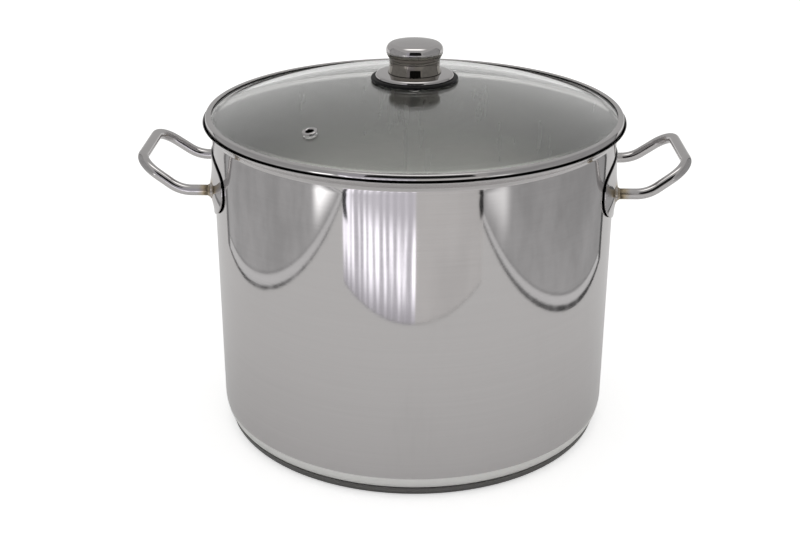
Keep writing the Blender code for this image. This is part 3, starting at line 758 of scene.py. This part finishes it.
def dome_swing(outline, depth, outward):
    """Follows the dome and its fillet, from the knob hole to the flat edge or back."""
    s = lid_sizes()
    flat = GLASS_HIGH.x - s.flat
    fillet_height = GLASS_LOW.z + s.thickness + s.fillet
    lean = math.degrees(math.atan2(flat, fillet_height - dome_centre()))
    hole = math.degrees(math.asin(KNOB_HOLE / (s.dome_radius - depth)))
    dome, fillet = (0.0, dome_centre()), (flat, fillet_height)
    if outward:
        return outline.swing(dome, lean - hole, 24).swing(fillet, -lean, 6)
    return outline.swing(fillet, lean, 6).swing(dome, hole - lean, 24)


def glass_start(depth):
    """Where the glass meets its knob hole, at a depth below the top of the dome."""
    reach = lid_sizes().dome_radius - depth
    return KNOB_HOLE, dome_centre() + math.sqrt(reach**2 - KNOB_HOLE**2)


def vent_frame():
    """Where the vent stands, with Z square to the dome."""
    s = lid_sizes()
    lean = math.asin(s.vent_distance / s.dome_radius)
    out = Vector((math.cos(s.vent_bearing), math.sin(s.vent_bearing), 0.0))
    seat = out * s.vent_distance + Vector((0.0, 0.0, dome_height(s.vent_distance)))
    return (
        Matrix.Translation(seat)
        @ Matrix.Rotation(s.vent_bearing, 4, "Z")
        @ Matrix.Rotation(lean, 4, "Y")
    )


def drill(piece, radius, matrix):
    """Cuts a round hole through a piece, and leaves no modifier or cutter behind."""
    bm = bmesh.new()
    bmesh.ops.create_cone(
        bm, cap_ends=True, segments=SMALL_SEGMENTS, radius1=radius, radius2=radius,
        depth=30.0 * MM, matrix=matrix,
    )
    mesh = bpy.data.meshes.new("drill")
    bm.to_mesh(mesh)
    bm.free()
    cutter = bpy.data.objects.new("drill", mesh)
    bpy.context.scene.collection.objects.link(cutter)
    boolean = piece.modifiers.new("Hole", "BOOLEAN")
    boolean.operation = "DIFFERENCE"
    boolean.solver = "EXACT"
    boolean.object = cutter
    bpy.context.view_layer.update()
    graph = bpy.context.evaluated_depsgraph_get()
    cut = bpy.data.meshes.new_from_object(piece.evaluated_get(graph))
    piece.modifiers.clear()
    piece.data = cut
    cut.shade_smooth()
    cut.set_sharp_from_angle(angle=SHARP)
    bpy.data.objects.remove(cutter)


class STOCKPOT_OT_glass(Operator):
    """Build the domed glass with its vent hole"""

    bl_idname = "stockpot.glass"
    bl_label = "Glass"

    def execute(self, context):
        s = lid_sizes()
        top = GLASS_LOW.z + s.thickness
        outline = dome_swing(Outline(*glass_start(0.0)), 0.0, True)
        outline.to(GLASS_HIGH.x - 2.0 * MM, top)
        outline.to(GLASS_HIGH.x, top, 1.2 * MM)
        outline.to(GLASS_HIGH.x, GLASS_LOW.z, 1.2 * MM)
        outline.to(GLASS_HIGH.x - 2.0 * MM, GLASS_LOW.z)
        outline.to(GLASS_HIGH.x - s.flat, GLASS_LOW.z)
        dome_swing(outline, s.thickness, False).close()
        bm = outline.turn(POT_SEGMENTS)
        glass = add_piece(
            "domed_glass", bm, clear_glass("clear_lid_glass"), "lid", "clear_glass", "lid_glass"
        )
        drill(glass, 3.9 * MM, vent_frame())
        return {"FINISHED"}


class STOCKPOT_OT_band(Operator):
    """Build the rolled steel band round the glass"""

    bl_idname = "stockpot.band"
    bl_label = "Lid band"

    def execute(self, context):
        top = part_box("lid_band")[1].z + 0.3 * MM
        inner = LID_RADIUS - lid_sizes().band_width
        outline = Outline(inner, top - 0.25 * MM)
        outline.to(inner + 0.8 * MM, top, 0.8 * MM)
        outline.to(LID_RADIUS - 0.9 * MM, top, 1.5 * MM)
        outline.to(LID_RADIUS + 0.2 * MM, LID_LOW + 2.9 * MM, 5.0 * MM)
        outline.to(LID_RADIUS - 0.9 * MM, LID_LOW, 1.0 * MM)
        outline.to(LID_RADIUS - 2.6 * MM, LID_LOW).to(inner, LID_LOW)
        bm = give_wall(outline.turn(POT_SEGMENTS), 0.5 * MM, 0.15 * MM)
        # Painted shadow: the band is near black in its lowest part, for the gap above the lip.
        material = steel(
            "polished_band_steel", (20.0, 20.0, 900.0), 0.06, 0.05, 0.03,
            gap_shadow=(LID_RADIUS - 4.0 * MM, LID_LOW - 1.0 * MM, LID_LOW + 2.4 * MM, -2.0),
        )
        add_piece("rolled_band", bm, material, "lid", "band_steel", "lid_band")
        return {"FINISHED"}


class STOCKPOT_OT_vent(Operator):
    """Build the rolled eyelet in the steam vent"""

    bl_idname = "stockpot.vent"
    bl_label = "Steam vent"

    def execute(self, context):
        bottom = -lid_sizes().thickness - 0.3 * MM
        outline = Outline(2.85 * MM, 0.0)
        outline.to(2.85 * MM, 1.5 * MM, 0.9 * MM).to(5.4 * MM, 1.5 * MM, 1.0 * MM)
        outline.to(5.4 * MM, 0.3 * MM).to(3.6 * MM, 0.3 * MM).to(3.6 * MM, bottom)
        outline.to(5.0 * MM, bottom, 0.2 * MM).to(5.0 * MM, bottom - 0.8 * MM, 0.4 * MM)
        outline.to(2.85 * MM, bottom - 0.9 * MM, 0.4 * MM).close()
        bm = outline.turn(SMALL_SEGMENTS)
        bmesh.ops.transform(bm, verts=bm.verts, matrix=vent_frame())
        material = steel("eyelet_bright_steel", (300.0, 300.0, 300.0), 0.09, 0.05, 0.03)
        add_piece("eyelet", bm, material, "lid", "eyelet_steel", "vent_eyelet")
        return {"FINISHED"}


# ---------------------------------------------------------------------- the knob
def knob_outline():
    """The knob's outer side from its crown to its foot."""
    s = lid_sizes()
    crown, edge, belly, belly_turn, waist, neck = 75.0, 5.5, 9.0, 35.0, 3.7, 3.0
    foot, foot_height = 18.0, 6.0
    radius = s.knob_radius / MM
    lean = math.degrees(math.asin((radius - edge) / (crown - edge)))
    widest = KNOB_TOP / MM - crown + (crown - edge) * math.cos(math.radians(lean))
    outline = Outline(0.0, KNOB_TOP)
    outline.swing((0.0, KNOB_TOP - crown * MM), lean, 10)
    outline.swing(((radius - edge) * MM, widest * MM), 90 - lean, 14)
    outline.swing(((radius - belly) * MM, widest * MM), belly_turn, 8)
    turn = math.radians(belly_turn)
    waist_r = radius - belly + (belly + waist) * math.cos(turn)
    waist_z = widest - (belly + waist) * math.sin(turn)
    outline.swing((waist_r * MM, waist_z * MM), -belly_turn, 6)
    neck_r = waist_r - waist
    outline.to(neck_r * MM, (waist_z - neck / 2) * MM).to(neck_r * MM, (waist_z - neck) * MM)
    foot_turn = math.degrees(math.asin(foot_height / foot))
    return outline.swing(((neck_r + foot) * MM, (waist_z - neck) * MM), -foot_turn, 6)


class STOCKPOT_OT_knob(Operator):
    """Build the hollow knob, its flange and its rubber gasket"""

    bl_idname = "stockpot.knob"
    bl_label = "Knob"

    def execute(self, context):
        s = lid_sizes()
        # Painted shade: the knob is darker below 8 mm under its top.
        mirror = steel(
            "polished_knob_steel", (30.0, 30.0, 1400.0), 0.055, 0.06, 0.03,
            shaded=(KNOB_TOP - 8.0 * MM, (0.27, 0.25, 0.225)),
        )
        bm = give_wall(knob_outline().turn(KNOB_SEGMENTS), 0.8 * MM, 0.2 * MM)
        add_piece("hollow_knob", bm, mirror, "lid", "knob_steel", "knob_shell")

        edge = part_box("knob_flange")[0].z
        outline = Outline(3.4 * MM, FLANGE_TOP)
        outline.to(18.0 * MM, FLANGE_TOP).to(20.4 * MM, FLANGE_TOP, 6.0 * MM)
        outline.to(s.flange_radius, edge + 2.2 * MM, 2.1 * MM)
        outline.to(s.flange_radius, edge)
        bm = give_wall(outline.turn(KNOB_SEGMENTS), 0.8 * MM, 0.15 * MM)
        flange = steel("polished_flange_steel", (40.0, 40.0, 700.0), 0.06, 0.06, 0.03)
        add_piece("domed_flange", bm, flange, "lid", "flange_steel", "knob_flange")

        under = FLANGE_TOP - 1.1 * MM
        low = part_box("knob_gasket")[0].z
        edge_top = edge - 0.3 * MM
        outline = Outline(3.4 * MM, low)
        outline.to(3.4 * MM, under).to(19.5 * MM, under).to(27.2 * MM, edge_top)
        outline.to(s.gasket_radius, edge_top, 1.2 * MM)
        outline.to(s.gasket_radius, dome_height(s.gasket_radius) + SEATED, 0.6 * MM)
        for radius in (28.0 * MM, 15.5 * MM, 5.1 * MM):
            outline.to(radius, dome_height(radius) + SEATED)
        outline.to(5.1 * MM, low, 0.3 * MM).close()
        rubber = black_rubber("black_silicone")
        add_piece(
            "rubber_gasket", outline.turn(KNOB_SEGMENTS), rubber, "lid", "black_rubber",
            "knob_gasket",
        )
        return {"FINISHED"}


class STOCKPOT_OT_fastener(Operator):
    """Finish the screw, washers and insert that hold the knob"""

    bl_idname = "stockpot.fastener"
    bl_label = "Fastener"

    def execute(self, context):
        plain = steel("plain_screw_steel", (600.0, 600.0, 600.0), 0.24, 0.05, 0.05, 0.9)
        for node in ("knob_insert", "underside_washer", "lock_washer", "knob_screw"):
            dress(node, plain)
        dress("underside_gasket", bpy.data.materials["black_silicone"])
        return {"FINISHED"}


# --------------------------------------------------------------------- the stage
def glowing(name, paint):
    """A card that gives off the brightness and tint that paint works out from its place."""
    material = bpy.data.materials.new(name)
    material.use_nodes = True
    tree = material.node_tree
    tree.nodes.clear()
    g = Graph(tree)
    strength, colour = paint(g, g.apart(g.place()))
    light = g.add("ShaderNodeEmission", None, Color=colour, Strength=strength)
    out = g.add("ShaderNodeOutputMaterial")
    g.put(out.inputs["Surface"], light.outputs[0])
    return material


def add_card(name, centre, across, up, material):
    """A flat card of the tent, seen only in reflections."""
    bm = bmesh.new()
    bmesh.ops.create_grid(bm, x_segments=1, y_segments=1, size=1.0)
    across, up = Vector(across), Vector(up)
    for vertex in bm.verts:
        vertex.co = Vector(centre) + across * vertex.co.x + up * vertex.co.y
    mesh = bpy.data.meshes.new(name)
    bm.to_mesh(mesh)
    bm.free()
    mesh.materials.append(material)
    card = bpy.data.objects.new(name, mesh)
    bpy.context.scene.collection.objects.link(card)
    card.visible_camera = False
    card.visible_diffuse = False
    card.visible_transmission = False
    card.visible_shadow = False
    return card


TENT_LEFT, TENT_RIGHT = -0.430, 0.385
TENT_FRONT, TENT_BACK = -0.440, 0.180
FRONT_LEFT, FRONT_RIGHT = -0.283, 0.288  # ends of the front
WALL_END = -0.640  # the side walls run on past the front
TENT_TOP = 0.62
SPLIT = 0.012  # where the two halves of the front meet
END_HALF = 0.016  # half the width of the dark ends of the side walls
SKY_SEEN = 1.05  # brightness of the background itself


def side_wall(level, blob_y, blob, seam_height):
    """Creased grey fabric with a paler hem, a dark seam and a bright corner."""

    def paint(g, at):
        creases = g.noise(g.stretch(g.place(), (1.0, 1.4, 1.8)), 7.0, 4.0, 0.6)
        glow = g.fade(creases, 0.3, 0.7, level * 0.88, level * 1.1)
        glow = g.math("MULTIPLY", glow, g.fade(at["Z"], 0.0, 0.25, 1.08, 0.86))
        hem = g.strip(at["Z"], 0.0045, 0.0165, 0.0015)
        glow = g.blend(hem, glow, 0.68)
        seam = g.math(
            "MULTIPLY", g.strip(at["Z"], -0.01, seam_height, 0.001),
            g.fade(at["Y"], -0.5, 0.0, 0.6, 1.0),
        )
        worn = g.fade(g.noise(g.place(), 14.0, 2.0), 0.3, 0.6, 0.45, 1.0)
        glow = g.blend(g.math("MULTIPLY", seam, worn), glow, 0.06)
        line = g.strip(at["Z"], 0.0170, 0.0190, 0.0012)
        glow = g.blend(g.math("MULTIPLY", line, 0.6), glow, 0.15)
        spot = g.math(
            "MULTIPLY", g.strip(at["Y"], blob_y - 0.09, blob_y + 0.08, 0.035),
            g.strip(at["Z"], 0.045, 0.12, 0.03),
        )
        return g.blend(spot, glow, blob), WHITE

    return paint


def front_wall(g, at):
    """A bright pleated half on the left and a plain grey half on the right."""
    folds = g.math("SINE", g.math("MULTIPLY", at["X"], 2 * math.pi / 0.026))
    ragged = g.noise(g.stretch(g.place(), (75.0, 1.0, 6.0)), 1.0, 4.0, 0.6)
    white = g.fade(g.math("ADD", g.math("MULTIPLY", folds, 0.10), ragged), 0.42, 0.66)
    lit = g.math(
        "MULTIPLY", g.fade(at["Z"], 0.0, 0.05, 0.15, 1.0), g.fade(at["Z"], 0.075, 0.112, 1.0, 0.12)
    )
    pleats = g.math("ADD", g.math("MULTIPLY", g.math("MULTIPLY", white, lit), 1.35), 0.72)
    pleats = g.math("MULTIPLY", pleats, g.fade(at["Z"], 0.0, 0.03, 0.75, 1.0))
    glare = g.math(
        "MULTIPLY", g.fade(at["X"], FRONT_LEFT + 0.035, FRONT_LEFT + 0.05, 1.0, 0.0),
        g.fade(at["Z"], 0.03, 0.05),
    )
    pleats = g.blend(g.math("MULTIPLY", glare, 0.8), pleats, 1.7)
    grey = g.fade(g.noise(g.place(), 8.0), 0.3, 0.7, 0.60, 0.66)
    left = g.fade(at["X"], SPLIT - 0.002, SPLIT + 0.002, 1.0, 0.0)
    glow = g.blend(left, grey, pleats)
    for middle in (FRONT_LEFT + 0.010, FRONT_RIGHT - 0.012):
        bend = g.math("MULTIPLY", g.math("ABSOLUTE", g.math("SUBTRACT", at["Z"], 0.088)), 0.5)
        lean = g.math("SUBTRACT", at["X"], bend)
        clip = g.math(
            "MULTIPLY", g.strip(lean, middle - 0.014, middle + 0.010, 0.003),
            g.strip(at["Z"], 0.070, 0.103, 0.004),
        )
        glow = g.blend(clip, glow, 0.03)
    glow = g.blend(g.fade(at["Z"], 0.15, 0.19), glow, 0.42)
    edge = g.math("MULTIPLY", g.strip(at["Z"], -0.01, 0.0012, 0.0006), 0.7)
    glow = g.blend(edge, glow, 0.12)
    return glow, g.mix(left, (1.0, 0.985, 0.97), (0.95, 0.93, 1.0))


def soft_light(g, at):
    """A lamp behind cloth, brightest in its middle."""
    middle = g.math(
        "MULTIPLY", g.strip(at["X"], -0.17, 0.17, 0.10), g.strip(at["Y"], -0.13, 0.03, 0.06)
    )
    return g.blend(middle, 0.46, 2.0), (1.0, 0.99, 0.97)


class STOCKPOT_OT_studio(Operator):
    """Build the floor, the light tent and the camera"""

    bl_idname = "stockpot.studio"
    bl_label = "Studio"

    def execute(self, context):
        s = studio()
        scene = context.scene
        scene.view_settings.view_transform = "Standard"

        world = bpy.data.worlds.new("tent_light")
        world.use_nodes = True
        scene.world = world
        g = Graph(world.node_tree)
        background = world.node_tree.nodes["Background"]
        path = g.add("ShaderNodeLightPath").outputs
        mirrored = g.blend(path["Is Glossy Ray"], s.sky, s.sky_mirrored)
        mirrored = g.blend(path["Is Transmission Ray"], mirrored, s.sky_through_glass)
        g.put(background.inputs["Color"], (1.0, 0.995, 0.985))
        g.put(background.inputs["Strength"], g.blend(path["Is Camera Ray"], mirrored, SKY_SEEN))

        floor_material, g, shader = new_material("pale_floor")
        path = g.add("ShaderNodeLightPath").outputs
        direct = g.math("MAXIMUM", path["Is Camera Ray"], path["Is Transmission Ray"])
        g.put(shader.inputs["Base Color"], tuple(s.floor))
        g.put(shader.inputs["Emission Color"], WHITE)
        g.put(shader.inputs["Emission Strength"], g.math("MULTIPLY", direct, 0.5))
        shader.inputs["Roughness"].default_value = 1.0
        shader.inputs["Specular IOR Level"].default_value = 0.0
        bm = bmesh.new()
        bmesh.ops.create_grid(bm, x_segments=1, y_segments=1, size=30.0)
        mesh = bpy.data.meshes.new("floor")
        bm.to_mesh(mesh)
        bm.free()
        mesh.materials.append(floor_material)
        floor = bpy.data.objects.new("floor", mesh)
        scene.collection.objects.link(floor)

        middle_y, half_y = (WALL_END + TENT_BACK) / 2, (TENT_BACK - WALL_END) / 2
        half_z = TENT_TOP / 2
        add_card(
            "tent_left", (TENT_LEFT, middle_y, half_z), (0, half_y, 0), (0, 0, half_z),
            glowing("tent_left_fabric", side_wall(0.43, -0.475, 2.4, 4.0 * MM)),
        )
        add_card(
            "tent_right", (TENT_RIGHT, middle_y, half_z), (0, half_y, 0), (0, 0, half_z),
            glowing("tent_right_fabric", side_wall(0.40, -0.455, 1.0, 6.5 * MM)),
        )
        middle_x, half_x = (FRONT_LEFT + FRONT_RIGHT) / 2, (FRONT_RIGHT - FRONT_LEFT) / 2
        add_card(
            "tent_front", (middle_x, TENT_FRONT, half_z), (half_x, 0, 0), (0, 0, half_z),
            glowing("tent_front_fabric", front_wall),
        )
        for side, x, shade in (("left", TENT_LEFT, 0.22), ("right", TENT_RIGHT, 0.10)):
            add_card(
                f"tent_end_{side}", (x, TENT_BACK + END_HALF, half_z), (0, END_HALF, 0), (0, 0, half_z),
                glowing(f"dark_end_{side}", lambda g, at, shade=shade: (shade, WHITE)),
            )
        dark = glowing("dark_opening", lambda g, at: (0.012, WHITE))
        add_card("opening", (0.03, TENT_FRONT + 0.004, 0.43), (0.19, 0, 0), (0, 0, 0.21), dark)
        bright = glowing("light_strip", soft_light)
        add_card("strip_light", (0.0, -0.05, TENT_TOP + 0.1), (0.30, 0, 0), (0, 0.16, 0), bright)

        camera_data = bpy.data.cameras.new("camera")
        camera_data.lens = s.lens
        camera_data.sensor_width = 36.0
        camera_data.clip_start = 0.01
        camera = bpy.data.objects.new("camera", camera_data)
        scene.collection.objects.link(camera)
        place, aim = Vector(s.camera_place), Vector(s.camera_aim)
        level = (aim - place).to_track_quat("-Z", "Y").to_matrix().to_4x4()
        camera.matrix_world = (
            Matrix.Translation(place) @ level @ Matrix.Rotation(s.camera_roll, 4, "Z")
        )
        scene.camera = camera
        return {"FINISHED"}


# ------------------------------------------------------------------------- panel
STEPS = (
    STOCKPOT_OT_studio,
    STOCKPOT_OT_body,
    STOCKPOT_OT_base,
    STOCKPOT_OT_handles,
    STOCKPOT_OT_glass,
    STOCKPOT_OT_band,
    STOCKPOT_OT_vent,
    STOCKPOT_OT_knob,
    STOCKPOT_OT_fastener,
)
SETTINGS = {
    "stock_pot": PotSizes,
    "stock_pot_lid": LidSizes,
    "stock_pot_finishes": Finishes,
    "stock_pot_studio": StudioSettings,
}


class STOCKPOT_PT_panel(Panel):
    """Sizes, colours and steps of the stock pot"""

    bl_idname = "STOCKPOT_PT_panel"
    bl_label = "Stock pot"
    bl_space_type = "VIEW_3D"
    bl_region_type = "UI"
    bl_category = "Stock pot"

    def draw(self, context):
        for setting in SETTINGS:
            box = self.layout.box()
            group = getattr(context.scene, setting)
            for name in group.__annotations__:
                box.prop(group, name)
        for step in STEPS:
            self.layout.operator(step.bl_idname)


def register():
    for cls in (*SETTINGS.values(), *STEPS, STOCKPOT_PT_panel):
        bpy.utils.register_class(cls)
    for setting, cls in SETTINGS.items():
        setattr(bpy.types.Scene, setting, PointerProperty(type=cls))


def unregister():
    for setting in SETTINGS:
        delattr(bpy.types.Scene, setting)
    for cls in reversed((*SETTINGS.values(), *STEPS, STOCKPOT_PT_panel)):
        bpy.utils.unregister_class(cls)


def main():
    register()
    build_grain()
    build_smudges()
    build_heat_tint()
    for step in STEPS:
        name = step.bl_idname.split(".")[1]
        getattr(bpy.ops.stockpot, name)()


if __name__ == "__main__":
    main()
